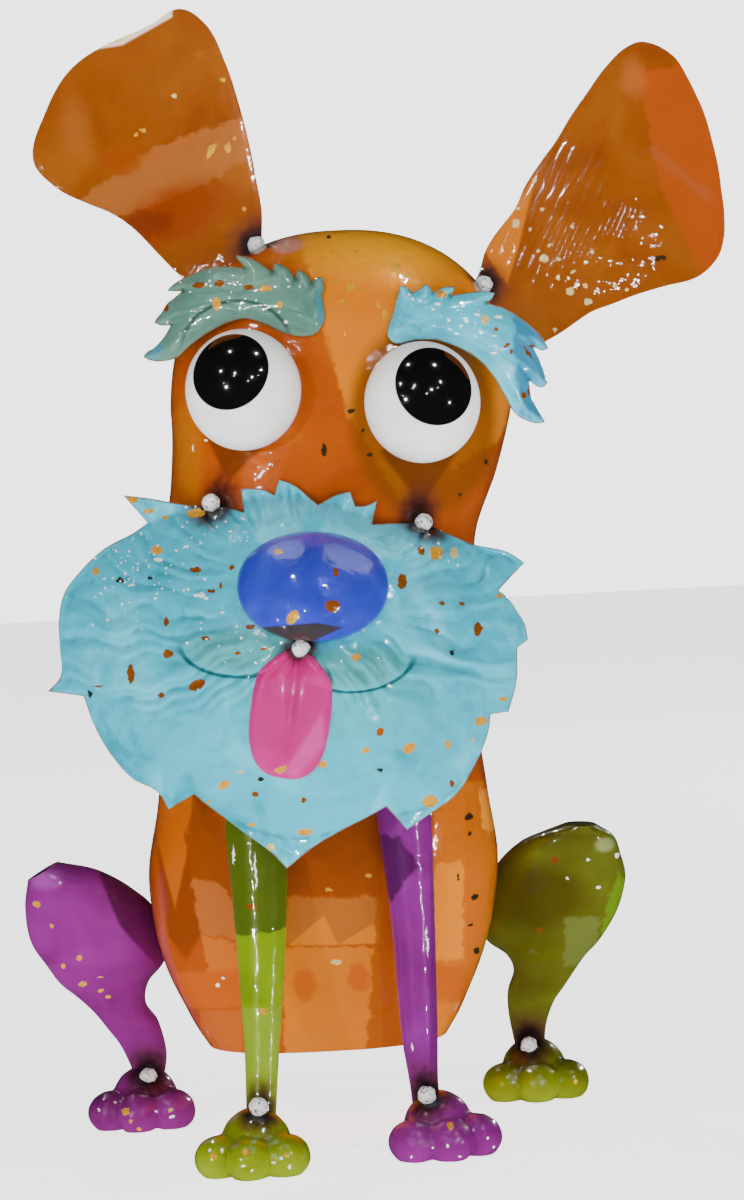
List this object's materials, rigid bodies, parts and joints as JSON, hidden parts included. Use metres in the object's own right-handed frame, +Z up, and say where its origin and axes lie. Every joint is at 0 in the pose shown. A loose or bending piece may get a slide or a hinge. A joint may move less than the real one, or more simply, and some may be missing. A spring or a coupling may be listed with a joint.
{
  "type": "sheet metal dog sculpture",
  "caption": "Seated garden dog welded from painted sheet steel, with upright ears, ball eyes, tufted eyebrows, a wide bearded muzzle and knobbly paws.",
  "frame": {"origin": "middle of the figure's bounding box on the ground, under its paws", "axes": "+Z up through the head, the dog faces -Y, and its own right side is at -X"},
  "size_m": [0.3328, 0.1904, 0.5078],
  "materials": {
    "orange_enamel": "glossy candy orange enamel with gold flecks",
    "ear_enamel": "glossy brown orange enamel with gold flecks",
    "turquoise_enamel": "glossy pale turquoise enamel with brown and gold flecks",
    "violet_blue_enamel": "glossy violet blue enamel",
    "pink_enamel": "glossy pink enamel",
    "green_enamel": "glossy olive to lime enamel, burnt dark at the ankle",
    "purple_enamel": "glossy purple enamel, burnt dark at the ankle",
    "eye_enamel": "satin warm white with a glossy black painted pupil",
    "weld_steel": "bright weld metal"
  },
  "bodies": {
    "root": {"body": "orange_enamel", "ear_right": "ear_enamel", "ear_left": "ear_enamel", "eyebrow_right": "turquoise_enamel", "eyebrow_left": "turquoise_enamel", "eye_right": "eye_enamel", "eye_left": "eye_enamel", "beard": "turquoise_enamel", "nose": "violet_blue_enamel", "tongue": "pink_enamel", "front_leg_right": "green_enamel", "front_leg_left": "purple_enamel", "rear_leg_right": "purple_enamel", "rear_leg_left": "green_enamel", "paw_front_right": "green_enamel", "paw_front_left": "purple_enamel", "paw_rear_right": "purple_enamel", "paw_rear_left": "green_enamel", "weld_ear_right": "weld_steel", "weld_ear_left": "weld_steel", "weld_beard_right": "weld_steel", "weld_beard_left": "weld_steel", "weld_tongue": "weld_steel", "weld_paw_front_right": "weld_steel", "weld_paw_front_left": "weld_steel", "weld_paw_rear_right": "weld_steel", "weld_paw_rear_left": "weld_steel"}
  },
  "joints": []
}
